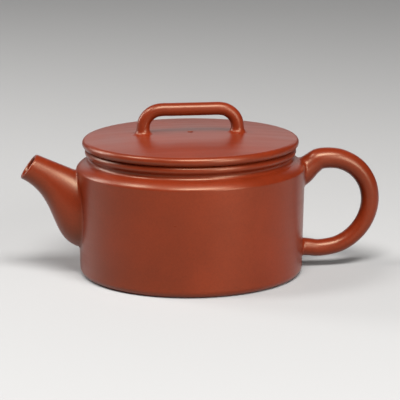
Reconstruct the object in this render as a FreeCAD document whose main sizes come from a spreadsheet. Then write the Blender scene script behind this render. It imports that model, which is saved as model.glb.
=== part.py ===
import FreeCAD, Part
import math
import os
import re

import Sketcher

# Slab-built clay teapot: a cylinder with a short spout, a round ear handle and a flat lid with a bridge knob.
# Millimetres. The origin is the centre of the foot, +Z is up, the spout points along -X and the handle along +X.

SIZES = {
    # cylinder
    "foot_radius": 44.2,
    "body_radius": 45.2,
    "wall": 3.0,
    "base_thickness": 3.5,
    "foot_round": 2.7,
    "shoulder_height": 42.3,
    # shoulder, neck and mouth
    "shoulder_arc": 6.6,
    "shoulder_top": 45.0,
    "neck_foot_radius": 41.5,
    "neck_arc": 1.5,
    "neck_top": 47.3,
    "neck_radius": 40.6,
    "mouth_radius": 38.0,
    "mouth_top": 50.4,
    "bead_arc": 1.65,
    # lid
    "seat_gap": 0.15,
    "lid_edge_round": 1.75,
    "lid_flat_radius": 40.95,
    "dome_rise": 2.1,
    "rim_width": 6.5,
    "flange_gap": 0.3,
    "flange_wall": 2.8,
    "flange_depth": 7.3,
    "flange_lead": 0.7,
    "vent_radius": 1.1,
    # bridge knob
    "bar_radius": 2.57,
    "bar_height": 65.27,
    "leg_reach": 18.7,
    "corner_arc": 7.4,
    "leg_foot_height": 55.3,
    "foot_flare": 2.4,
    "foot_flare_height": 3.6,
    # spout: a curved lower outline, a straight upper outline and the section's width
    "spout_low_root_reach": 43.5,
    "spout_low_root_height": 10.9,
    "spout_belly_reach": 56.9,
    "spout_belly_height": 13.95,
    "spout_throat_reach": 51.7,
    "spout_throat_height": 31.2,
    "spout_lip_low_reach": 66.7,
    "spout_lip_low_height": 39.3,
    "spout_top_root_reach": 41.0,
    "spout_top_root_height": 39.95,
    "spout_lip_top_reach": 60.1,
    "spout_lip_top_height": 48.4,
    "spout_root_width": 11.0,
    "spout_lip_width": 5.6,
    "spout_wall": 2.4,
    "spout_lip_wall": 1.5,
    # opening in the wall and the strainer over it
    "pour_height": 25.5,
    "pour_radius": 7.8,
    "strainer_radius": 10.5,
    "strainer_wall": 1.5,
    "strainer_skirt": 2.4,
    "strainer_reach": 40.0,
    "strainer_hole": 1.0,
    # ear handle
    "loop_reach": 53.75,
    "loop_height": 26.0,
    "loop_radius": 18.3,
    "loop_lean": 0.65,
    "handle_low_radius": 3.35,
    "handle_high_radius": 4.2,
    "low_root_height": 8.5,
    "low_root_radius": 3.6,
    "high_root_height": 38.2,
    "high_root_radius": 5.4,
    "high_arm_radius": 4.4,
}

SPOUT_STATIONS = 8
HANDLE_FIRST_ANGLE = -95
HANDLE_LAST_ANGLE = 95
HANDLE_STATIONS = 9
STRAINER_RINGS = ((0, 1), (28, 6), (54, 12))


def make_sheet(doc):
    """Put every driving dimension in a cell of its own, with its name as the alias."""
    sheet = doc.addObject("Spreadsheet::Sheet", "Sizes")
    for row, (name, value) in enumerate(SIZES.items(), start=1):
        sheet.set(f"A{row}", name)
        sheet.set(f"B{row}", str(value))
        sheet.setAlias(f"B{row}", name)
    doc.recompute()
    return sheet


def on_sheet(text):
    """Turn a formula in the names above into one that reads the sheet's cells."""
    def cell(word):
        return "Sizes." + word.group() if word.group() in SIZES else word.group()
    return re.sub(r"[a-z][a-z_]*", cell, text)


def value_of(sheet, text):
    """The number that a formula gives now."""
    return float(sheet.evalExpression(on_sheet(text)))


def origin_plane(body, role):
    """One of a body's own origin planes."""
    return next(item for item in body.Origin.OriginFeatures if item.Role == role)


def new_body(doc, label):
    body = doc.addObject("PartDesign::Body", label)
    body.Label = label
    return body


def new_sketch(body, name, role):
    sketch = body.newObject("Sketcher::SketchObject", name)
    sketch.AttachmentSupport = (origin_plane(body, role), [""])
    sketch.MapMode = "FlatFace"
    return sketch


def arc_between(start, end, radius, side):
    """The shorter arc from start to end, with its centre left (side 1) or right (side -1) of the way."""
    chord = end - start
    middle = (start + end) * 0.5
    across = FreeCAD.Vector(-chord.y, chord.x, 0).normalize()
    inward = math.sqrt(radius ** 2 - (chord.Length / 2) ** 2)
    top = middle + across * (inward - radius) * side
    return Part.Arc(start, top, end)


def pin_point(sketch, geometry, which, texts):
    """Hold one end of an edge at the distances that two formulas give."""
    for kind, axis, text in (("DistanceX", -2, texts[0]), ("DistanceY", -1, texts[1])):
        if text == "0":
            sketch.addConstraint(Sketcher.Constraint("PointOnObject", geometry, which, axis))
            continue
        now = value_of(sketch.Document.Sizes, text)
        index = sketch.addConstraint(Sketcher.Constraint(kind, -1, 1, geometry, which, now))
        sketch.setExpression(f"Constraints[{index}]", on_sheet(text))


def draw_outline(sketch, outline, closed=True):
    """An outline of lines and arcs; each point is (x, y) or (x, y, arc radius, side) to the next."""
    sheet = sketch.Document.Sizes
    points = [FreeCAD.Vector(value_of(sheet, point[0]), value_of(sheet, point[1]), 0) for point in outline]
    edges = outline if closed else outline[:-1]
    starts = []
    ends = []
    for number, point in enumerate(edges):
        start = points[number]
        end = points[(number + 1) % len(points)]
        if len(point) == 2:
            geometry = sketch.addGeometry(Part.LineSegment(start, end), False)
        else:
            radius = value_of(sheet, point[2])
            geometry = sketch.addGeometry(arc_between(start, end, radius, point[3]), False)
            index = sketch.addConstraint(Sketcher.Constraint("Radius", geometry, radius))
            sketch.setExpression(f"Constraints[{index}]", on_sheet(point[2]))
        forward = (sketch.getPoint(geometry, 1) - start).Length < 1e-6
        starts.append((geometry, 1 if forward else 2))
        ends.append((geometry, 2 if forward else 1))
    for number, point in enumerate(edges):
        if closed or number > 0:
            sketch.addConstraint(Sketcher.Constraint("Coincident", *ends[number - 1], *starts[number]))
        pin_point(sketch, *starts[number], point[:2])
    if not closed:
        pin_point(sketch, *ends[-1], outline[-1][:2])


def turned(doc, label, outline):
    """A body of revolution about Z from its half outline of (radius, height) points."""
    body = new_body(doc, label)
    sketch = new_sketch(body, label + "_outline", "XZ_Plane")
    draw_outline(sketch, outline)
    turn = body.newObject("PartDesign::Revolution", label + "_turn")
    turn.Profile = sketch
    turn.ReferenceAxis = (sketch, ["V_Axis"])
    turn.Angle = 360
    sketch.Visibility = False
    doc.recompute()
    return body


def pierce(doc, body, role, centre, radius, depth, reverse):
    """A round hole from one of the body's origin planes outwards."""
    sketch = new_sketch(body, body.Name + "_hole", role)
    place = FreeCAD.Vector(value_of(doc.Sizes, centre[0]), value_of(doc.Sizes, centre[1]), 0)
    circle = Part.Circle(place, FreeCAD.Vector(0, 0, 1), value_of(doc.Sizes, radius))
    geometry = sketch.addGeometry(circle, False)
    index = sketch.addConstraint(Sketcher.Constraint("Radius", geometry, circle.Radius))
    sketch.setExpression(f"Constraints[{index}]", on_sheet(radius))
    pin_point(sketch, geometry, 3, centre)
    before = body.Shape.Volume
    pocket = body.newObject("PartDesign::Pocket", body.Name + "_pocket")
    pocket.Profile = sketch
    pocket.setExpression("Length", on_sheet(depth))
    pocket.Reversed = reverse
    doc.recompute()
    assert body.Shape.Volume < before - 1, body.Label + " is not pierced"


def section(body, name, reach, height, heading, half_tall, half_wide=None):
    """A round or oval section of a bent piece in the XZ plane, square to its heading in degrees."""
    sheet = body.Document.Sizes
    sketch = new_sketch(body, name, "YZ_Plane")
    turn = FreeCAD.Rotation(FreeCAD.Vector(1, 0, 0), -value_of(sheet, heading))
    base = FreeCAD.Vector(0, value_of(sheet, height), value_of(sheet, reach))
    sketch.AttachmentOffset = FreeCAD.Placement(base, turn)
    sketch.setExpression("AttachmentOffset.Base.z", on_sheet(reach))
    sketch.setExpression("AttachmentOffset.Base.y", on_sheet(height))
    tall = value_of(sheet, half_tall)
    origin = FreeCAD.Vector(0, 0, 0)
    if half_wide is None:
        edge = sketch.addGeometry(Part.Circle(origin, FreeCAD.Vector(0, 0, 1), tall), False)
        index = sketch.addConstraint(Sketcher.Constraint("Radius", edge, tall))
        sketch.setExpression(f"Constraints[{index}]", on_sheet(half_tall))
        sketch.addConstraint(Sketcher.Constraint("Coincident", edge, 3, -1, 1))
        return sketch
    wide = value_of(sheet, half_wide)
    oval = Part.Ellipse(FreeCAD.Vector(0, tall, 0), FreeCAD.Vector(wide, 0, 0), origin)
    edge = sketch.addGeometry(oval, False)
    sketch.exposeInternalGeometry(edge)
    sketch.addConstraint(Sketcher.Constraint("Coincident", edge, 3, -1, 1))
    sketch.addConstraint(Sketcher.Constraint("Vertical", edge + 1))
    for axis, text, size in ((edge + 1, half_tall, tall), (edge + 2, half_wide, wide)):
        index = sketch.addConstraint(Sketcher.Constraint("Distance", axis, 2 * size))
        sketch.setExpression(f"Constraints[{index}]", on_sheet(f"2 * ({text})"))
    return sketch


def loft(doc, body, kind, name, sections):
    """Join sections in order, as solid (Additive) or as a hollow (Subtractive)."""
    feature = body.newObject(f"PartDesign::{kind}Loft", name)
    feature.Profile = sections[0]
    feature.Sections = sections[1:]
    feature.Ruled = False
    doc.recompute()


def cut(doc, label, base, tool):
    """A named piece that is one solid less another."""
    piece = doc.addObject("Part::Cut", label)
    piece.Label = label
    piece.Base = base
    piece.Tool = tool
    doc.recompute()
    return piece


def blend(first, last, share):
    """A formula for a value part of the way from one to the other."""
    return f"({first}) * {1 - share:.6g} + ({last}) * {share:.6g}"


def bezier(points, share):
    """A formula for a point's coordinate on a cubic curve with four control values."""
    weights = [(1 - share) ** 3, 3 * (1 - share) ** 2 * share, 3 * (1 - share) * share ** 2, share ** 3]
    return " + ".join(f"({point}) * {weight:.6g}" for point, weight in zip(points, weights))


def base_plate(doc):
    outline = [
        ("0", "0"),
        ("foot_radius - foot_round", "0", "foot_round", 1),
        ("foot_radius", "foot_round"),
        ("foot_radius", "base_thickness"),
        ("0", "base_thickness"),
    ]
    return turned(doc, "base_plate", outline)


def body_wall(doc):
    outline = [
        ("foot_radius - wall", "base_thickness"),
        ("foot_radius", "base_thickness"),
        ("body_radius", "shoulder_height"),
        ("body_radius - wall", "shoulder_height"),
    ]
    body = turned(doc, "body_wall", outline)
    pierce(doc, body, "YZ_Plane", ("0", "pour_height"), "pour_radius", "body_radius + wall", False)
    return body


def shoulder_plate(doc):
    outline = [
        ("mouth_radius", "shoulder_height"),
        ("body_radius", "shoulder_height", "shoulder_arc", 1),
        ("neck_foot_radius", "shoulder_top"),
        ("mouth_radius", "shoulder_top"),
    ]
    return turned(doc, "shoulder_plate", outline)


def neck_ring(doc):
    outline = [
        ("mouth_radius", "shoulder_top"),
        ("neck_foot_radius", "shoulder_top", "neck_arc", -1),
        ("neck_radius", "neck_top"),
        ("mouth_radius", "neck_top"),
    ]
    return turned(doc, "neck_ring", outline)


def mouth_ring(doc):
    outline = [
        ("mouth_radius", "neck_top"),
        ("neck_radius", "neck_top", "bead_arc", 1),
        ("neck_radius", "mouth_top"),
        ("mouth_radius", "mouth_top"),
    ]
    return turned(doc, "mouth_ring", outline)


def pot_form(doc):
    """The outer form of the pot without a hollow, which the spout and the handle are fitted to."""
    outline = [
        ("0", "0"),
        ("foot_radius", "0"),
        ("foot_radius", "base_thickness"),
        ("body_radius", "shoulder_height", "shoulder_arc", 1),
        ("neck_foot_radius", "shoulder_top", "neck_arc", -1),
        ("neck_radius", "neck_top"),
        ("0", "neck_top"),
    ]
    return turned(doc, "pot_form", outline)


def spout(doc, form):
    """A hollow spout lofted through ovals that span its lower curve and its straight upper line."""
    low_reach = ["-spout_low_root_reach", "-spout_belly_reach", "-spout_throat_reach", "-spout_lip_low_reach"]
    low_height = ["spout_low_root_height", "spout_belly_height", "spout_throat_height", "spout_lip_low_height"]
    body = new_body(doc, "spout_tube")
    shells = {"Additive": [], "Subtractive": []}
    for number in range(SPOUT_STATIONS):
        share = number / (SPOUT_STATIONS - 1)
        low = (bezier(low_reach, share), bezier(low_height, share))
        top = (blend("-spout_top_root_reach", "-spout_lip_top_reach", share),
               blend("spout_top_root_height", "spout_lip_top_height", share))
        reach = f"({low[0]} + {top[0]}) / 2"
        height = f"({low[1]} + {top[1]}) / 2"
        rise = f"({top[1]} - ({low[1]}))"
        run = f"({top[0]} - ({low[0]}))"
        heading = f"-atan2({run}; {rise})"
        tall = f"sqrt({rise} ^ 2 + {run} ^ 2) / 2"
        wide = blend("spout_root_width", "spout_lip_width", 1 - (1 - share) ** 1.6)
        skin = blend("spout_wall", "spout_lip_wall", share)
        for kind, inset in (("Additive", "0"), ("Subtractive", skin)):
            name = f"spout_{kind}_{number}"
            shells[kind].append(section(body, name, reach, height, heading,
                                        f"{tall} - ({inset})", f"{wide} - ({inset})"))
    for kind, sections in shells.items():
        loft(doc, body, kind, "spout_" + kind, sections)
    return cut(doc, "spout", body, form)


def handle(doc, form):
    """A round ear that thickens from its lower to its upper root."""
    body = new_body(doc, "handle_loop")
    sections = [
        section(body, "handle_low_root", "foot_radius - 1", "low_root_height", "-2", "low_root_radius"),
        section(body, "handle_low_arm", "foot_radius + 2.4", "low_root_height - 0.25", "-3",
                "handle_low_radius + 0.05"),
    ]
    for number in range(HANDLE_STATIONS):
        share = number / (HANDLE_STATIONS - 1)
        angle = HANDLE_FIRST_ANGLE + (HANDLE_LAST_ANGLE - HANDLE_FIRST_ANGLE) * share
        radius = f"(loop_radius + loop_lean * sin(2 * {angle}))"
        reach = f"loop_reach + {radius} * cos({angle})"
        height = f"loop_height + {radius} * sin({angle})"
        grip = blend("handle_low_radius", "handle_high_radius", share ** 2)
        sections.append(section(body, f"handle_station_{number}", reach, height, str(angle + 90), grip))
    sections.append(section(body, "handle_high_arm", "body_radius + 3", "high_root_height + 4",
                            "205", "high_arm_radius"))
    sections.append(section(body, "handle_high_root", "body_radius - 1.5", "high_root_height",
                            "195", "high_root_radius"))
    loft(doc, body, "Additive", "handle_ear", sections)
    return cut(doc, "handle", body, form)


def strainer(doc, wall):
    """A pierced half ball over the spout's opening, let into the inside of the wall."""
    outline = [
        ("strainer_radius", "-strainer_skirt"),
        ("strainer_radius", "0", "strainer_radius", 1),
        ("0", "strainer_radius"),
        ("0", "strainer_radius - strainer_wall", "strainer_radius - strainer_wall", -1),
        ("strainer_radius - strainer_wall", "0"),
        ("strainer_radius - strainer_wall", "-strainer_skirt"),
    ]
    ball = turned(doc, "strainer_ball", outline)
    centre = FreeCAD.Vector(-value_of(doc.Sizes, "strainer_reach"), 0, value_of(doc.Sizes, "pour_height"))
    ball.Placement = FreeCAD.Placement(centre, FreeCAD.Rotation(FreeCAD.Vector(0, 1, 0), 90))
    pins = []
    for tilt, count in STRAINER_RINGS:
        for number in range(count):
            around = FreeCAD.Rotation(FreeCAD.Vector(1, 0, 0), 360 * number / count)
            lean = FreeCAD.Rotation(FreeCAD.Vector(0, 1, 0), 90 - tilt)
            pin = doc.addObject("Part::Cylinder", "strainer_pin")
            pin.setExpression("Radius", on_sheet("strainer_hole"))
            pin.setExpression("Height", on_sheet("strainer_radius + 1"))
            pin.Placement = FreeCAD.Placement(centre, around * lean)
            pins.append(pin)
    holes = doc.addObject("Part::MultiFuse", "strainer_pins")
    holes.Shapes = pins
    pierced = cut(doc, "strainer_pierced", ball, holes)
    return cut(doc, "strainer", pierced, wall)


def lid_plate(doc):
    under = "mouth_top + seat_gap + lid_edge_round"
    top = "mouth_top + seat_gap + 2 * lid_edge_round"
    dome_arc = "(lid_flat_radius ^ 2 + dome_rise ^ 2) / (2 * dome_rise)"
    outline = [
        ("0", under),
        ("lid_flat_radius + lid_edge_round", under, "lid_edge_round", 1),
        ("lid_flat_radius", top, dome_arc, 1),
        ("0", top + " + dome_rise"),
    ]
    body = turned(doc, "lid_plate", outline)
    pierce(doc, body, "XY_Plane", ("0", "0"), "vent_radius", "bar_height", True)
    return body


def lid_rim(doc):
    outline = [
        ("lid_flat_radius - rim_width", "mouth_top + seat_gap"),
        ("lid_flat_radius", "mouth_top + seat_gap", "lid_edge_round", 1),
        ("lid_flat_radius + lid_edge_round", "mouth_top + seat_gap + lid_edge_round"),
        ("lid_flat_radius - rim_width", "mouth_top + seat_gap + lid_edge_round"),
    ]
    return turned(doc, "lid_rim", outline)


def lid_flange(doc):
    outer = "mouth_radius - flange_gap"
    outline = [
        (outer + " - flange_wall", "mouth_top + seat_gap - flange_depth"),
        (outer + " - flange_lead", "mouth_top + seat_gap - flange_depth"),
        (outer, "mouth_top + seat_gap - flange_depth + flange_lead"),
        (outer, "mouth_top + seat_gap"),
        (outer + " - flange_wall", "mouth_top + seat_gap"),
    ]
    return turned(doc, "lid_flange", outline)


def bridge_knob(doc, lid):
    """A round bar bent into an arch, on two feet that flare into the lid."""
    body = new_body(doc, "knob_bridge")
    path = new_sketch(body, "knob_path", "XZ_Plane")
    outline = [
        ("-leg_reach", "leg_foot_height"),
        ("-leg_reach", "bar_height - corner_arc", "corner_arc", -1),
        ("corner_arc - leg_reach", "bar_height"),
        ("leg_reach - corner_arc", "bar_height", "corner_arc", -1),
        ("leg_reach", "bar_height - corner_arc"),
        ("leg_reach", "leg_foot_height"),
    ]
    draw_outline(path, outline, closed=False)
    arch = body.newObject("PartDesign::AdditivePipe", "knob_arch")
    arch.Profile = section(body, "knob_bar", "-leg_reach", "leg_foot_height", "90", "bar_radius")
    arch.Spine = path
    doc.recompute()
    for side, reach in (("left", "-leg_reach"), ("right", "leg_reach")):
        rings = []
        for number, rise in enumerate((-0.4, 0.0, 0.2, 0.5, 1.0)):
            height = f"leg_foot_height + foot_flare_height * {rise}"
            radius = f"bar_radius + foot_flare * {(1 - max(rise, 0)) ** 3:.4g}"
            rings.append(section(body, f"knob_{side}_ring_{number}", reach, height, "90", radius))
        loft(doc, body, "Additive", f"knob_{side}_foot", rings)
    return cut(doc, "bridge_knob", body, lid)


def check_and_write(doc, pieces):
    """Refuse any failed object or shape, then write one file for each piece."""
    for item in doc.Objects:
        if "Invalid" in item.State or "Error" in item.State:
            raise RuntimeError(f"{item.Label}: {item.State}")
    for piece in pieces:
        shape = piece.Shape
        if shape.isNull() or not shape.isValid() or len(shape.Solids) != 1:
            raise RuntimeError(f"{piece.Label} is not one valid solid")
        shape.exportStep(f"parts/{piece.Label}.step")
        box = shape.BoundBox
        print(f"{piece.Label:15s} {shape.Volume / 1000:8.3f} cm3  x {box.XMin:7.2f} {box.XMax:7.2f}"
              f"  y {box.YMin:7.2f} {box.YMax:7.2f}  z {box.ZMin:7.2f} {box.ZMax:7.2f}")


def main():
    os.makedirs("parts", exist_ok=True)
    doc = FreeCAD.newDocument("teapot")
    make_sheet(doc)
    form = pot_form(doc)
    wall = body_wall(doc)
    lid = lid_plate(doc)
    pieces = [
        base_plate(doc),
        wall,
        shoulder_plate(doc),
        neck_ring(doc),
        mouth_ring(doc),
        spout(doc, form),
        strainer(doc, wall),
        handle(doc, form),
        lid_flange(doc),
        lid_rim(doc),
        lid,
        bridge_knob(doc, lid),
    ]
    check_and_write(doc, pieces)


main()
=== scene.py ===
import math

import bmesh
import bpy
from mathutils import Matrix, Vector, noise


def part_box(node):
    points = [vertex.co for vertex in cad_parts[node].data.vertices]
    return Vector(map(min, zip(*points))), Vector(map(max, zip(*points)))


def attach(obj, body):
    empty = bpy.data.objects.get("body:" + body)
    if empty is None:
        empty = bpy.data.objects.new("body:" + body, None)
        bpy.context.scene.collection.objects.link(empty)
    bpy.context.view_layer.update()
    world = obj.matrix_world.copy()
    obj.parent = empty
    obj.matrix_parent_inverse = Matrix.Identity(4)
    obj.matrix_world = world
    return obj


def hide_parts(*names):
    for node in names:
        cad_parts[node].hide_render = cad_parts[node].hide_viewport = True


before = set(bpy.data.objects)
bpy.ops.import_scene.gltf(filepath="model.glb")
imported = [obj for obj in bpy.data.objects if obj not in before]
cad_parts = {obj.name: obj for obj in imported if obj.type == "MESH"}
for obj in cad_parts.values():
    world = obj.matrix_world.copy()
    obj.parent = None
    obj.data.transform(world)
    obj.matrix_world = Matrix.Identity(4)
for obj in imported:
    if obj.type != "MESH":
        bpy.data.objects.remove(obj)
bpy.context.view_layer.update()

MM = 0.001

# Mesh density: steps round a turned piece, round a tube and round the pour hole.
SEGMENTS = 256
TUBE_SIDES = 64
HOLE_SIDES = 48
FLAT_STEPS = 12
WALL_STEPS = 36
SLOPE_STEPS = 24
DOME_STEPS = 48
SHARP_ANGLE = math.radians(40)

# Two points nearer to each other than this are one point.
SAME_PLACE = 1e-7

# Hand finish: how far a turned surface wanders, and how quickly.
HAND_WOBBLE = 0.06 * MM
WOBBLE_SCALE = 28.0

# Camera: a long lens a little above the lid's level, swung round the pot so that the spout is nearer.
CAMERA_TARGET = Vector((3.65, 0.0, 28.6)) * MM
CAMERA_DISTANCE = 0.8
CAMERA_ELEVATION = math.radians(12.7)
CAMERA_ROLL = math.radians(-0.3)
CAMERA_LENS = 181.4
SENSOR_WIDTH = 36.0
CLIP_START = 0.01
SWING = Matrix.Rotation(math.radians(-6), 3, "Z")

# Body, neck and lid: levels and widest radii come from the frame, the other sizes are the part's own.
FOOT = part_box("base_plate")
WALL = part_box("body_wall")
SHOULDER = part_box("shoulder_plate")
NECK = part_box("neck_ring")
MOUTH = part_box("mouth_ring")
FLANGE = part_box("lid_flange")
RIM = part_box("lid_rim")
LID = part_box("lid_plate")

FOOT_RADIUS = FOOT[1].x
FOOT_ROUND = 2.7 * MM
WALL_FOOT = FOOT[1].z
BODY_RADIUS = WALL[1].x
WALL_THICKNESS = 3.0 * MM
EDGE_HEIGHT = WALL[1].z
EDGE_SEAM = EDGE_HEIGHT - 0.4 * MM
EDGE_SOFT_STEPS = 3
SHOULDER_ARC = 6.6 * MM
SHOULDER_TOP = SHOULDER[1].z
FILLET_LIMIT = SHOULDER_TOP - 0.1 * MM
NECK_FOOT_RADIUS = 41.5 * MM
NECK_ARC = 1.5 * MM
NECK_TOP = NECK[1].z
NECK_RADIUS = 40.6 * MM
MOUTH_RADIUS = 38.0 * MM
MOUTH_TOP = MOUTH[1].z
BEAD_ARC = 1.65 * MM
INNER_EDGE_ROUND = 0.4 * MM
LID_EDGE = 1.75 * MM
LID_FLAT_RADIUS = LID[1].x - LID_EDGE
LID_UNDER = RIM[0].z
LID_TOP = LID[1].z
DOME_RISE = LID_TOP - RIM[1].z - LID_EDGE
RIM_INNER = LID_FLAT_RADIUS - 6.5 * MM
FLANGE_WALL = 2.8 * MM
FLANGE_INNER_ROUND = 0.5 * MM
FLANGE_OUTER_ROUND = 0.8 * MM
VENT_RADIUS = 1.1 * MM
VENT_EDGE = VENT_RADIUS + 0.4 * MM
VENT_ROUND = 0.3 * MM

# The hole in the wall behind the spout, and where along X its cutter starts and ends.
POUR_RADIUS = 7.8 * MM
POUR_HEIGHT = 25.5 * MM
POUR_REACH = (-48 * MM, -38 * MM)

# Spout, in millimetres as (x, z): a curve on four control points below, a straight line above.
SPOUT_LOW = ((-43.5, 10.9), (-56.9, 13.95), (-51.7, 31.2), (-66.7, 39.3))
SPOUT_HIGH_ROOT = (-41.0, 39.95)
SPOUT_HIGH_LIP = (-60.1, 48.4)
SPOUT_ROOT_WIDTH = 11.0
SPOUT_LIP_WIDTH = 5.6
SPOUT_NARROWING = 1.6
SPOUT_ROOT_WALL = 2.4
SPOUT_LIP_WALL = 1.5
SPOUT_STEPS = 60
SPOUT_FILLET = 1.1 * MM
SPOUT_OUTER_RINGS = 70
SPOUT_INNER_RINGS = 50
LIP_STEPS = 8
LIP_BULGE = 0.8

# Handle, in millimetres: arms as (x, z, half height, half width), and the leaning ring between them.
LOW_ARM = ((42.8, 8.5, 3.6, 3.8), (46.8, 8.15, 3.45, 3.6))
HIGH_ARM = ((48.5, 42.1, 4.45, 4.6), (43.9, 38.5, 5.3, 5.3), (38.0, 35.9, 5.8, 5.8))
LOOP_REACH = 53.75
LOOP_HEIGHT = 26.0
LOOP_RADIUS = 18.3
LOOP_LEAN = 0.65
LOOP_START = -95
LOOP_TURN = 190
LOOP_STEPS = 8
LOOP_LOW_THICKNESS = 3.35
LOOP_HIGH_THICKNESS = 4.2
LOOP_BREADTH = 1.06
HANDLE_LOW_FILLET = 1.2 * MM
HANDLE_HIGH_FILLET = 1.6 * MM
HANDLE_STEPS = 14
HANDLE_RINGS = 170

# Knob, in millimetres: a bar of one thickness on two legs, with a quarter arc at each corner.
BAR_RADIUS = 2.57
BAR_HEIGHT = 65.27
BAR_PLACES = (7.5, 3.8)
LEG_REACH = 18.7
LEG_LEVELS = (54.0, 56.0)
CORNER_ARC = 7.4
CORNER_ANGLES = (22.5, 45, 67.5, 90)
KNOB_FILLET = 2.3 * MM
KNOB_STEPS = 10
KNOB_RINGS = 160

# Clay: linear colour, multiplied by patches and by sand as (place on the ramp, factor), and the sheen.
CLAY = (0.135, 0.014, 0.003)
MOTTLE_SCALE = 38.0
MOTTLE_STOPS = ((0.32, 0.86), (0.70, 1.12))
SAND_SCALE = 1500.0
SAND_STOPS = ((0.30, (0.72, 0.72, 0.72)), (0.5, (1, 1, 1)), (0.72, (1.22, 1.26, 1.3)))
SAND_SHARE = 0.45
SAND_DEPTH = 0.04 * MM
STROKE_SHARE = 0.35
STROKE_DEPTH = 0.05 * MM
SHEEN = 0.5
SHEEN_TINT = (1.0, 0.76, 0.52)

# Tool strokes are fine along the axes with high numbers. Two noises added fall within NOISE_SUM, which is
# spread over a roughness from low to high.
ROUND_STROKES = (30.0, 30.0, 420.0)
BENT_STROKES = (90.0, 200.0, 90.0)
LID_STROKES = (20.0, 260.0, 60.0)
PLAIN_STROKES = (60.0, 60.0, 200.0)
NOISE_SUM = (0.6, 1.4)
BURNISHED = (0.27, 0.38)
UNBURNISHED = (0.62, 0.78)
FINE_GRAIN = 0.35
COARSE_GRAIN = 0.8

# Stage: the floor, the dim surroundings, and lamps as (name, place, size, power).
FLOOR_TONE = (0.34, 0.335, 0.33)
FLOOR_ROUGHNESS = 0.9
FLOOR_SIZE = 3.0
WORLD_STRENGTH = 0.05
LAMP_TARGET = (0, 0, 0.03)
LAMPS = (
    ("key", (0.75, -0.95, 0.45), (0.40, 0.7), 12),
    ("left", (-0.9, 0.35, 0.45), (0.3, 0.6), 6),
    ("high_left", (-0.6, -0.1, 0.9), (0.25, 0.25), 6),
    ("top", (0.12, -0.6, 1.0), (0.7, 0.35), 22),
    ("back", (0.0, 1.5, 0.5), (1.6, 0.5), 2),
)


# ---------------------------------------------------------------- outlines

def arc(start, end, radius, side, steps):
    """Points of the shorter arc from start to end, both ends included; side 1 has its centre on the left."""
    start = Vector(start)
    end = Vector(end)
    chord = end - start
    across = Vector((-chord.y, chord.x)).normalized() * side
    centre = (start + end) / 2 + across * math.sqrt(max(radius ** 2 - chord.length_squared / 4, 0.0))
    first = start - centre
    turn = first.angle_signed(end - centre)
    points = []
    for step in range(steps + 1):
        points.append(centre + Matrix.Rotation(-turn * step / steps, 2) @ first)
    return points


def line(start, end, steps):
    """Points from start to end, both included."""
    start = Vector(start)
    end = Vector(end)
    return [start.lerp(end, step / steps) for step in range(steps + 1)]


def bend(first, corner, last, steps):
    """Points of a soft curve from first to last that heads for the corner between them."""
    points = []
    for step in range(steps + 1):
        share = step / steps
        points.append(first * (1 - share) ** 2 + corner * 2 * share * (1 - share) + last * share ** 2)
    return points


def joined(*runs):
    """One list of points from several runs, without doubled points."""
    points = []
    for run in runs:
        for point in run:
            if not points or (point - points[-1]).length > SAME_PLACE:
                points.append(point)
    if (points[0] - points[-1]).length < SAME_PLACE:
        points.pop()
    return points


def rounded(corners):
    """A closed outline of (radius, height, rounding) corners."""
    points = []
    for number, (x, y, size) in enumerate(corners):
        here = Vector((x, y))
        if size <= 0:
            points.append(here)
            continue
        before = Vector(corners[number - 1][:2]) - here
        after = Vector(corners[(number + 1) % len(corners)][:2]) - here
        points += bend(here + before.normalized() * size, here, here + after.normalized() * size, 5)
    return points


def smooth_track(stations, steps):
    """Values between stations on a smooth curve through them."""
    first = [2 * a - b for a, b in zip(stations[0], stations[1])]
    last = [2 * a - b for a, b in zip(stations[-1], stations[-2])]
    knots = [first] + [list(station) for station in stations] + [last]
    track = []
    for number in range(1, len(knots) - 2):
        before, here, after, beyond = knots[number - 1:number + 3]
        for step in range(steps):
            t = step / steps
            values = []
            for a, b, c, d in zip(before, here, after, beyond):
                curve = (2 * a - 5 * b + 4 * c - d) * t * t + (3 * b - a - 3 * c + d) * t ** 3
                values.append(b + 0.5 * ((c - a) * t + curve))
            track.append(values)
    track.append(list(stations[-1]))
    return track


# ---------------------------------------------------------------- meshes

def wobble(point):
    """The slight unevenness of a hand-finished surface, the same for every piece at one place."""
    push = noise.noise(point * WOBBLE_SCALE) * HAND_WOBBLE
    flat = Vector((point.x, point.y, 0))
    if flat.length < 1e-6:
        return point
    return point + flat.normalized() * push


def finish_mesh(name, builder):
    """Turn a bmesh into a named object with outward normals and smooth shading."""
    bmesh.ops.recalc_face_normals(builder, faces=builder.faces)
    mesh = bpy.data.meshes.new(name)
    builder.to_mesh(mesh)
    builder.free()
    mesh.shade_smooth()
    mesh.set_sharp_from_angle(angle=SHARP_ANGLE)
    piece = bpy.data.objects.new(name, mesh)
    bpy.context.scene.collection.objects.link(piece)
    return piece


def lathe(name, outline):
    """A solid of revolution about Z from a closed outline of (radius, height) points."""
    builder = bmesh.new()
    columns = []
    for point in outline:
        if point.x < SAME_PLACE:
            columns.append([builder.verts.new((0, 0, point.y))] * SEGMENTS)
            continue
        ring = []
        for step in range(SEGMENTS):
            angle = 2 * math.pi * step / SEGMENTS
            place = Vector((point.x * math.cos(angle), point.x * math.sin(angle), point.y))
            ring.append(builder.verts.new(wobble(place)))
        columns.append(ring)
    for number, ring in enumerate(columns):
        after = columns[(number + 1) % len(columns)]
        if ring[0] is ring[1] and after[0] is after[1]:
            continue
        for step in range(SEGMENTS):
            turn = (step + 1) % SEGMENTS
            corners = []
            for vert in (ring[step], ring[turn], after[turn], after[step]):
                if vert not in corners:
                    corners.append(vert)
            builder.faces.new(corners)
    return finish_mesh(name, builder)


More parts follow.
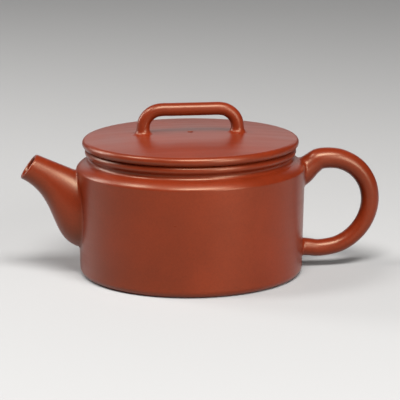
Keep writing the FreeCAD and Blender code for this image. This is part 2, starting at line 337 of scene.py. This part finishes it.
def skin(name, rings, closed):
    """A solid through rings of points, closed into a loop or capped at both ends."""
    builder = bmesh.new()
    rows = [[builder.verts.new(point) for point in ring] for ring in rings]
    sides = len(rows[0])
    pairs = list(zip(rows, rows[1:]))
    if closed:
        pairs.append((rows[-1], rows[0]))
    for row, after in pairs:
        for step in range(sides):
            turn = (step + 1) % sides
            builder.faces.new((row[step], row[turn], after[turn], after[step]))
    if not closed:
        for row, ring in ((rows[0], rings[0]), (rows[-1], rings[-1])):
            middle = builder.verts.new(sum(ring, Vector()) / sides)
            for step in range(sides):
                builder.faces.new((row[step], row[(step + 1) % sides], middle))
    return finish_mesh(name, builder)


# ---------------------------------------------------------------- pot and lid as surfaces

def shoulder_slope():
    """The shoulder's top, from the crisp edge to the foot of the neck."""
    return arc((BODY_RADIUS, EDGE_HEIGHT), (NECK_FOOT_RADIUS, SHOULDER_TOP), SHOULDER_ARC, 1, SLOPE_STEPS)


def pot_radius(height):
    """Outer radius of wall, shoulder and neck at a height."""
    if height <= EDGE_HEIGHT:
        share = (height - WALL_FOOT) / (EDGE_HEIGHT - WALL_FOOT)
        return FOOT_RADIUS + (BODY_RADIUS - FOOT_RADIUS) * max(share, 0.0)
    top = min(height, SHOULDER_TOP)
    slope = shoulder_slope()
    for low, high in zip(slope, slope[1:]):
        if low.y <= top <= high.y:
            return low.lerp(high, (top - low.y) / max(high.y - low.y, 1e-9)).x
    return NECK_FOOT_RADIUS


def pot_distance(point):
    """How far a point is outside the pot, along its radius."""
    return math.hypot(point.x, point.y) - pot_radius(point.z)


def onto_pot(point):
    """The place on the pot's outside at a point's height, always below the neck."""
    height = min(point.z, FILLET_LIMIT)
    flat = Vector((point.x, point.y, 0)).normalized()
    return flat * pot_radius(height) + Vector((0, 0, height))


def dome_height(radius):
    """Height of the lid's domed top at a radius."""
    return LID_TOP - DOME_RISE * min(radius / LID_FLAT_RADIUS, 1.0) ** 2


def lid_distance(point):
    """How far a point is above the lid."""
    return point.z - dome_height(math.hypot(point.x, point.y))


def onto_lid(point):
    """The place on the lid below or above a point."""
    return Vector((point.x, point.y, dome_height(math.hypot(point.x, point.y))))


# ---------------------------------------------------------------- tubes

def crossing(points, distance):
    """Index of the first point outside a surface, and the place where the line leaves it."""
    for number in range(1, len(points)):
        inside = distance(points[number - 1])
        outside = distance(points[number])
        if inside <= 0 < outside:
            share = inside / (inside - outside)
            return number, points[number - 1].lerp(points[number], share)
    raise ValueError("a line never leaves the surface")


def walked(points, length):
    """Point at a length along a line, and the points after it."""
    for number in range(1, len(points)):
        step = (points[number] - points[number - 1]).length
        if step >= length:
            return points[number - 1].lerp(points[number], length / step), points[number:]
        length -= step
    raise ValueError("a line is shorter than its fillet")


def flared(lines, distance, onto, fillet):
    """Trim lines where they leave a surface, and run each into it with a fillet."""
    hits = [crossing(points, distance) for points in lines]
    centre = sum((hit for _, hit in hits), Vector()) / len(hits)
    result = []
    for points, (number, hit) in zip(lines, hits):
        leave, rest = walked([hit] + points[number:], fillet)
        away = hit - centre
        foot = onto(onto(hit + away.normalized() * fillet))
        result.append(bend(foot, hit, leave, 10) + rest)
    return result


def evenly(points, count):
    """A line's points spaced evenly along it."""
    lengths = [0.0]
    for before, after in zip(points, points[1:]):
        lengths.append(lengths[-1] + (after - before).length)
    result = []
    place = 0
    for step in range(count):
        target = lengths[-1] * step / (count - 1)
        while place < len(points) - 2 and lengths[place + 1] < target:
            place += 1
        span = max(lengths[place + 1] - lengths[place], 1e-12)
        result.append(points[place].lerp(points[place + 1], min((target - lengths[place]) / span, 1.0)))
    return result


def round_lines(track):
    """Lines along a tube in the XZ plane; track holds (x, z, half height, half width) in millimetres."""
    lines = [[] for _ in range(TUBE_SIDES)]
    for number, (x, z, tall, wide) in enumerate(track):
        before = track[max(number - 1, 0)]
        after = track[min(number + 1, len(track) - 1)]
        along = Vector((after[0] - before[0], 0, after[1] - before[1])).normalized()
        up = Vector((-along.z, 0, along.x))
        for side in range(TUBE_SIDES):
            angle = 2 * math.pi * side / TUBE_SIDES
            offset = up * (tall * math.cos(angle)) + Vector((0, wide * math.sin(angle), 0))
            lines[side].append((Vector((x, 0, z)) + offset) * MM)
    return lines


def as_rings(lines):
    """Rings across a bundle of lines with the same number of points."""
    return [list(ring) for ring in zip(*lines)]


# ---------------------------------------------------------------- pot

def make_base_plate():
    """The bottom slab, with its rounded foot edge."""
    outline = joined(
        line((0, 0), (FOOT_RADIUS - FOOT_ROUND, 0), FLAT_STEPS),
        arc((FOOT_RADIUS - FOOT_ROUND, 0), (FOOT_RADIUS, FOOT_ROUND), FOOT_ROUND, 1, 10),
        line((FOOT_RADIUS, FOOT_ROUND), (FOOT_RADIUS, WALL_FOOT), 2),
        line((FOOT_RADIUS, WALL_FOOT), (0, WALL_FOOT), FLAT_STEPS),
    )
    return lathe("base_slab", outline)


def pour_cutter():
    """A round bar through the wall behind the spout."""
    rings = []
    for reach in POUR_REACH:
        ring = []
        for side in range(HOLE_SIDES):
            angle = 2 * math.pi * side / HOLE_SIDES
            across = POUR_RADIUS * math.cos(angle)
            ring.append(Vector((reach, across, POUR_HEIGHT + POUR_RADIUS * math.sin(angle))))
        rings.append(ring)
    return skin("cutter", rings, closed=False)


def make_body_wall():
    """The cylinder wall, a little wider at its top, with the pour hole cut through it."""
    inner = FOOT_RADIUS - WALL_THICKNESS
    outline = joined(
        line((FOOT_RADIUS, WALL_FOOT), (pot_radius(EDGE_SEAM), EDGE_SEAM), WALL_STEPS),
        line((pot_radius(EDGE_SEAM), EDGE_SEAM), (BODY_RADIUS - WALL_THICKNESS, EDGE_SEAM), 2),
        line((BODY_RADIUS - WALL_THICKNESS, EDGE_SEAM), (inner, WALL_FOOT), WALL_STEPS),
        line((inner, WALL_FOOT), (FOOT_RADIUS, WALL_FOOT), 2),
    )
    wall = lathe("cylinder_wall", outline)
    cutter = pour_cutter()
    hole = wall.modifiers.new("pour_hole", "BOOLEAN")
    hole.operation = "DIFFERENCE"
    hole.object = cutter
    graph = bpy.context.evaluated_depsgraph_get()
    mesh = bpy.data.meshes.new_from_object(wall.evaluated_get(graph))
    wall.modifiers.clear()
    wall.data = mesh
    bpy.data.objects.remove(cutter)
    return wall


def make_shoulder_plate():
    """The sloping slab on the wall, with its outer edge just softened."""
    slope = shoulder_slope()
    low = Vector((pot_radius(EDGE_SEAM), EDGE_SEAM))
    outline = joined(
        bend(low, Vector((BODY_RADIUS, EDGE_HEIGHT)), slope[EDGE_SOFT_STEPS], 6),
        slope[EDGE_SOFT_STEPS:],
        line((NECK_FOOT_RADIUS, SHOULDER_TOP), (MOUTH_RADIUS, SHOULDER_TOP), 2),
        line((MOUTH_RADIUS, SHOULDER_TOP), (MOUTH_RADIUS, EDGE_SEAM), 3),
        line((MOUTH_RADIUS, EDGE_SEAM), low, 4),
    )
    return lathe("shoulder_slab", outline)


def make_neck_ring():
    """The recessed collar, hollowed where it meets the shoulder."""
    outline = joined(
        arc((NECK_FOOT_RADIUS, SHOULDER_TOP), (NECK_RADIUS, NECK_TOP), NECK_ARC, -1, 8),
        line((NECK_RADIUS, NECK_TOP), (MOUTH_RADIUS, NECK_TOP), 2),
        line((MOUTH_RADIUS, NECK_TOP), (MOUTH_RADIUS, SHOULDER_TOP), 2),
        line((MOUTH_RADIUS, SHOULDER_TOP), (NECK_FOOT_RADIUS, SHOULDER_TOP), 2),
    )
    return lathe("neck_collar", outline)


def make_mouth_ring():
    """The rounded bead that the lid sits on."""
    outline = joined(
        arc((NECK_RADIUS, NECK_TOP), (NECK_RADIUS, MOUTH_TOP), BEAD_ARC, 1, 20),
        rounded([(NECK_RADIUS, MOUTH_TOP, 0), (MOUTH_RADIUS, MOUTH_TOP, INNER_EDGE_ROUND),
                 (MOUTH_RADIUS, NECK_TOP, 0)]),
        line((MOUTH_RADIUS, NECK_TOP), (NECK_RADIUS, NECK_TOP), 2),
    )
    return lathe("mouth_bead", outline)


def spout_point(share):
    """Lower and upper point of the spout's outline, in millimetres."""
    weights = ((1 - share) ** 3, 3 * (1 - share) ** 2 * share, 3 * (1 - share) * share ** 2, share ** 3)
    lower = [sum(weight * point[axis] for weight, point in zip(weights, SPOUT_LOW)) for axis in (0, 1)]
    upper = [root + (lip - root) * share for root, lip in zip(SPOUT_HIGH_ROOT, SPOUT_HIGH_LIP)]
    return Vector((lower[0], 0, lower[1])), Vector((upper[0], 0, upper[1]))


def spout_lines(inset_root, inset_lip):
    """Lines along the spout, inset from its outside by a wall thickness in millimetres."""
    lines = [[] for _ in range(TUBE_SIDES)]
    for step in range(SPOUT_STEPS + 1):
        share = step / SPOUT_STEPS
        lower, upper = spout_point(share)
        inset = inset_root + (inset_lip - inset_root) * share
        middle = (lower + upper) / 2
        up = (upper - lower).normalized()
        tall = (upper - lower).length / 2 - inset
        flare = (SPOUT_ROOT_WIDTH - SPOUT_LIP_WIDTH) * (1 - share) ** SPOUT_NARROWING
        wide = SPOUT_LIP_WIDTH + flare - inset
        for side in range(TUBE_SIDES):
            angle = 2 * math.pi * side / TUBE_SIDES
            offset = up * (tall * math.cos(angle)) + Vector((0, wide * math.sin(angle), 0))
            lines[side].append((middle + offset) * MM)
    return lines


def spout_lip(outer, inner):
    """Points of the round lip, from the end of the outside to the end of the inside."""
    forward = (outer[-1] - outer[-2]).normalized()
    reach = (outer[-1] - inner[-1]).length / 2
    middle = (outer[-1] + inner[-1]) / 2
    half = (outer[-1] - inner[-1]) / 2
    lip = []
    for step in range(1, LIP_STEPS):
        angle = math.pi * step / LIP_STEPS
        lip.append(middle + half * math.cos(angle) + forward * reach * math.sin(angle) * LIP_BULGE)
    return lip


def make_spout():
    """The hollow spout, run into the wall with a fillet, and round at its lip."""
    outside = flared(spout_lines(0, 0), pot_distance, onto_pot, SPOUT_FILLET)
    lines = []
    for outer, inner in zip(outside, spout_lines(SPOUT_ROOT_WALL, SPOUT_LIP_WALL)):
        number, hit = crossing(inner, pot_distance)
        outer = evenly(outer, SPOUT_OUTER_RINGS)
        inner = evenly([hit] + inner[number:], SPOUT_INNER_RINGS)
        lines.append(outer + spout_lip(outer, inner) + inner[::-1])
    return skin("spout_tube", as_rings(lines), closed=True)


def make_handle():
    """The ear handle: thin below, thicker above, run into the wall at both ends."""
    stations = list(LOW_ARM)
    for step in range(LOOP_STEPS + 1):
        share = step / LOOP_STEPS
        angle = math.radians(LOOP_START + LOOP_TURN * share)
        radius = LOOP_RADIUS + LOOP_LEAN * math.sin(2 * angle)
        thick = LOOP_LOW_THICKNESS + (LOOP_HIGH_THICKNESS - LOOP_LOW_THICKNESS) * share ** 2
        reach = LOOP_REACH + radius * math.cos(angle)
        height = LOOP_HEIGHT + radius * math.sin(angle)
        stations.append((reach, height, thick, thick * LOOP_BREADTH))
    stations += HIGH_ARM
    lines = round_lines(smooth_track(stations, HANDLE_STEPS))
    lines = flared(lines, pot_distance, onto_pot, HANDLE_LOW_FILLET)
    lines = flared([points[::-1] for points in lines], pot_distance, onto_pot, HANDLE_HIGH_FILLET)
    return skin("ear_handle", as_rings([evenly(points, HANDLE_RINGS) for points in lines]), closed=False)


# ---------------------------------------------------------------- lid

def make_lid_flange():
    """The ring under the lid that stands in the mouth."""
    outer = FLANGE[1].x
    inner = outer - FLANGE_WALL
    low = FLANGE[0].z
    high = FLANGE[1].z
    outline = rounded([
        (inner, low, FLANGE_INNER_ROUND),
        (outer, low, FLANGE_OUTER_ROUND),
        (outer, high, 0),
        (inner, high, 0),
    ])
    return lathe("locating_flange", outline)


def make_lid_rim():
    """The ring that makes the lower half of the lid's round edge."""
    widest = LID_FLAT_RADIUS + LID_EDGE
    seam = LID_UNDER + LID_EDGE
    outline = joined(
        arc((LID_FLAT_RADIUS, LID_UNDER), (widest, seam), LID_EDGE, 1, 12),
        line((widest, seam), (RIM_INNER, seam), 4),
        rounded([(RIM_INNER, seam, 0), (RIM_INNER, LID_UNDER, INNER_EDGE_ROUND),
                 (LID_FLAT_RADIUS, LID_UNDER, 0)]),
    )
    return lathe("lid_edge_ring", outline)


def make_lid_plate():
    """The domed disc, with the upper half of the round edge and the vent hole in its middle."""
    widest = LID_FLAT_RADIUS + LID_EDGE
    seam = LID_UNDER + LID_EDGE
    dome = []
    for step in range(DOME_STEPS + 1):
        radius = LID_FLAT_RADIUS + (VENT_EDGE - LID_FLAT_RADIUS) * step / DOME_STEPS
        dome.append(Vector((radius, dome_height(radius))))
    outline = joined(
        arc((widest, seam), (LID_FLAT_RADIUS, seam + LID_EDGE), LID_EDGE, 1, 12),
        dome,
        rounded([(VENT_EDGE, dome_height(0), 0), (VENT_RADIUS, dome_height(0), VENT_ROUND),
                 (VENT_RADIUS, seam, 0)]),
        line((VENT_RADIUS, seam), (widest, seam), FLAT_STEPS),
    )
    return lathe("lid_disc", outline)


def make_knob():
    """The bridge knob: one bent bar, run into the lid at both feet."""
    side = [(LEG_REACH, level) for level in LEG_LEVELS]
    side.append((LEG_REACH, BAR_HEIGHT - CORNER_ARC))
    for angle in CORNER_ANGLES:
        turn = math.radians(angle)
        reach = LEG_REACH - CORNER_ARC * (1 - math.cos(turn))
        side.append((reach, BAR_HEIGHT - CORNER_ARC * (1 - math.sin(turn))))
    side += [(place, BAR_HEIGHT) for place in BAR_PLACES]
    path = [(-x, z) for x, z in side] + [(0.0, BAR_HEIGHT)] + side[::-1]
    lines = round_lines(smooth_track([(x, z, BAR_RADIUS, BAR_RADIUS) for x, z in path], KNOB_STEPS))
    lines = flared(lines, lid_distance, onto_lid, KNOB_FILLET)
    lines = flared([points[::-1] for points in lines], lid_distance, onto_lid, KNOB_FILLET)
    return skin("knob_bridge", as_rings([evenly(points, KNOB_RINGS) for points in lines]), closed=False)


# ---------------------------------------------------------------- materials

def add(nodes, kind, **values):
    """A shader node with its properties and unlinked inputs set."""
    node = nodes.new(kind)
    for name, value in values.items():
        if hasattr(node, name):
            setattr(node, name, value)
        else:
            node.inputs[name.replace("_", " ")].default_value = value
    return node


def add_ramp(nodes, *stops):
    """A colour ramp through two or more (position, colour) stops in rising order."""
    ramp = add(nodes, "ShaderNodeValToRGB")
    elements = ramp.color_ramp.elements
    for element, (position, colour) in zip(elements, (stops[0], stops[-1])):
        element.position = position
        element.color = (*colour, 1)
    for position, colour in stops[1:-1]:
        elements.new(position).color = (*colour, 1)
    return ramp


def clay_material(name, strokes_scale, grain, roughness):
    """Unglazed clay: mottled iron colour, fine sand, tool strokes and a satin or matt surface."""
    material = bpy.data.materials.new(name)
    material.use_nodes = True
    nodes = material.node_tree.nodes
    links = material.node_tree.links
    shader = nodes["Principled BSDF"]
    place = add(nodes, "ShaderNodeTexCoord")

    mottle = add(nodes, "ShaderNodeTexNoise", Scale=MOTTLE_SCALE, Detail=4.0, Roughness=0.55)
    links.new(place.outputs["Object"], mottle.inputs["Vector"])
    sand = add(nodes, "ShaderNodeTexNoise", Scale=SAND_SCALE, Detail=2.0, Roughness=0.6)
    links.new(place.outputs["Object"], sand.inputs["Vector"])
    stretch = add(nodes, "ShaderNodeMapping", Scale=strokes_scale)
    links.new(place.outputs["Object"], stretch.inputs["Vector"])
    strokes = add(nodes, "ShaderNodeTexNoise", Scale=1.0, Detail=3.0, Roughness=0.5)
    links.new(stretch.outputs["Vector"], strokes.inputs["Vector"])

    tones = []
    for position, factor in MOTTLE_STOPS:
        tones.append((position, [channel * factor for channel in CLAY]))
    tone = add_ramp(nodes, *tones)
    links.new(mottle.outputs["Fac"], tone.inputs["Fac"])
    specks = add_ramp(nodes, *SAND_STOPS)
    links.new(sand.outputs["Fac"], specks.inputs["Fac"])

    grainy = add(nodes, "ShaderNodeMix", data_type="RGBA", blend_type="MULTIPLY")
    grainy.inputs["Factor"].default_value = SAND_SHARE
    links.new(tone.outputs["Color"], grainy.inputs["A"])
    links.new(specks.outputs["Color"], grainy.inputs["B"])
    links.new(grainy.outputs["Result"], shader.inputs["Base Color"])

    both = add(nodes, "ShaderNodeMath", operation="ADD")
    links.new(strokes.outputs["Fac"], both.inputs[0])
    links.new(mottle.outputs["Fac"], both.inputs[1])
    satin = add(nodes, "ShaderNodeMapRange", From_Min=NOISE_SUM[0], From_Max=NOISE_SUM[1])
    satin.inputs["To Min"].default_value = roughness[0]
    satin.inputs["To Max"].default_value = roughness[1]
    links.new(both.outputs["Value"], satin.inputs["Value"])
    links.new(satin.outputs["Result"], shader.inputs["Roughness"])

    fine = add(nodes, "ShaderNodeBump", Strength=grain, Distance=SAND_DEPTH)
    links.new(sand.outputs["Fac"], fine.inputs["Height"])
    broad = add(nodes, "ShaderNodeBump", Strength=STROKE_SHARE, Distance=STROKE_DEPTH)
    links.new(strokes.outputs["Fac"], broad.inputs["Height"])
    links.new(fine.outputs["Normal"], broad.inputs["Normal"])
    links.new(broad.outputs["Normal"], shader.inputs["Normal"])
    shader.inputs["Specular IOR Level"].default_value = SHEEN
    shader.inputs["Specular Tint"].default_value = (*SHEEN_TINT, 1)
    return material


def dress(piece, material):
    """Give a piece one material."""
    piece.data.materials.clear()
    piece.data.materials.append(material)


def dress_frame_node(node, material):
    """Give a frame node that stays visible one material."""
    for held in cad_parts[node].material_slots:
        held.material = material


# ---------------------------------------------------------------- stage

def area_light(name, place, size, power):
    """A rectangular lamp that points at the middle of the pot."""
    data = bpy.data.lights.new(name, "AREA")
    data.shape = "RECTANGLE"
    data.size, data.size_y = size
    data.energy = power
    light = bpy.data.objects.new(name, data)
    light.location = place
    light.rotation_euler = (Vector(LAMP_TARGET) - place).to_track_quat("-Z", "Y").to_euler()
    bpy.context.scene.collection.objects.link(light)


def make_floor():
    """A large pale floor under the pot."""
    builder = bmesh.new()
    bmesh.ops.create_grid(builder, x_segments=2, y_segments=2, size=FLOOR_SIZE)
    floor = finish_mesh("floor", builder)
    material = bpy.data.materials.new("pale_floor")
    material.use_nodes = True
    shader = material.node_tree.nodes["Principled BSDF"]
    shader.inputs["Base Color"].default_value = (*FLOOR_TONE, 1)
    shader.inputs["Roughness"].default_value = FLOOR_ROUGHNESS
    dress(floor, material)


def make_camera():
    """The camera, aimed at its target from its elevation and swing."""
    data = bpy.data.cameras.new("camera")
    data.lens = CAMERA_LENS
    data.sensor_width = SENSOR_WIDTH
    data.clip_start = CLIP_START
    camera = bpy.data.objects.new("camera", data)
    back = SWING @ Vector((0, -math.cos(CAMERA_ELEVATION), math.sin(CAMERA_ELEVATION)))
    camera.location = SWING @ CAMERA_TARGET + back * CAMERA_DISTANCE
    aim = back.to_track_quat("Z", "Y").to_matrix().to_4x4()
    roll = Matrix.Rotation(CAMERA_ROLL, 4, "Z")
    camera.rotation_euler = (aim @ roll).to_euler()
    bpy.context.scene.collection.objects.link(camera)
    bpy.context.scene.camera = camera


def make_lights():
    """Dim white surroundings, and the lamps swung round with the camera."""
    world = bpy.data.worlds.new("studio")
    bpy.context.scene.world = world
    world.use_nodes = True
    background = world.node_tree.nodes["Background"]
    background.inputs["Color"].default_value = (1, 1, 1, 1)
    background.inputs["Strength"].default_value = WORLD_STRENGTH
    for name, place, size, power in LAMPS:
        area_light(name, SWING @ Vector(place), size, power)
    bpy.context.scene.view_settings.view_transform = "Standard"


make_camera()
make_lights()
make_floor()

turned_clay = clay_material("turned_clay", ROUND_STROKES, FINE_GRAIN, BURNISHED)
bent_clay = clay_material("bent_clay", BENT_STROKES, FINE_GRAIN, BURNISHED)
lid_clay = clay_material("lid_clay", LID_STROKES, FINE_GRAIN, BURNISHED)
plain_clay = clay_material("plain_clay", PLAIN_STROKES, COARSE_GRAIN, UNBURNISHED)

PIECES = (
    (make_base_plate, "base_plate", "pot", turned_clay, "clay_burnished"),
    (make_body_wall, "body_wall", "pot", turned_clay, "clay_burnished"),
    (make_shoulder_plate, "shoulder_plate", "pot", turned_clay, "clay_burnished"),
    (make_neck_ring, "neck_ring", "pot", turned_clay, "clay_burnished"),
    (make_mouth_ring, "mouth_ring", "pot", turned_clay, "clay_burnished"),
    (make_spout, "spout", "pot", bent_clay, "clay_burnished"),
    (make_handle, "handle", "pot", bent_clay, "clay_burnished"),
    (make_lid_flange, "lid_flange", "lid_seat", plain_clay, "clay_plain"),
    (make_lid_rim, "lid_rim", "lid", turned_clay, "clay_burnished"),
    (make_lid_plate, "lid_plate", "lid", lid_clay, "clay_burnished"),
    (make_knob, "bridge_knob", "lid", bent_clay, "clay_burnished"),
)
for make, node, body, material, slot in PIECES:
    piece = make()
    dress(piece, material)
    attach(piece, body)
    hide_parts(node)

dress_frame_node("strainer", plain_clay)
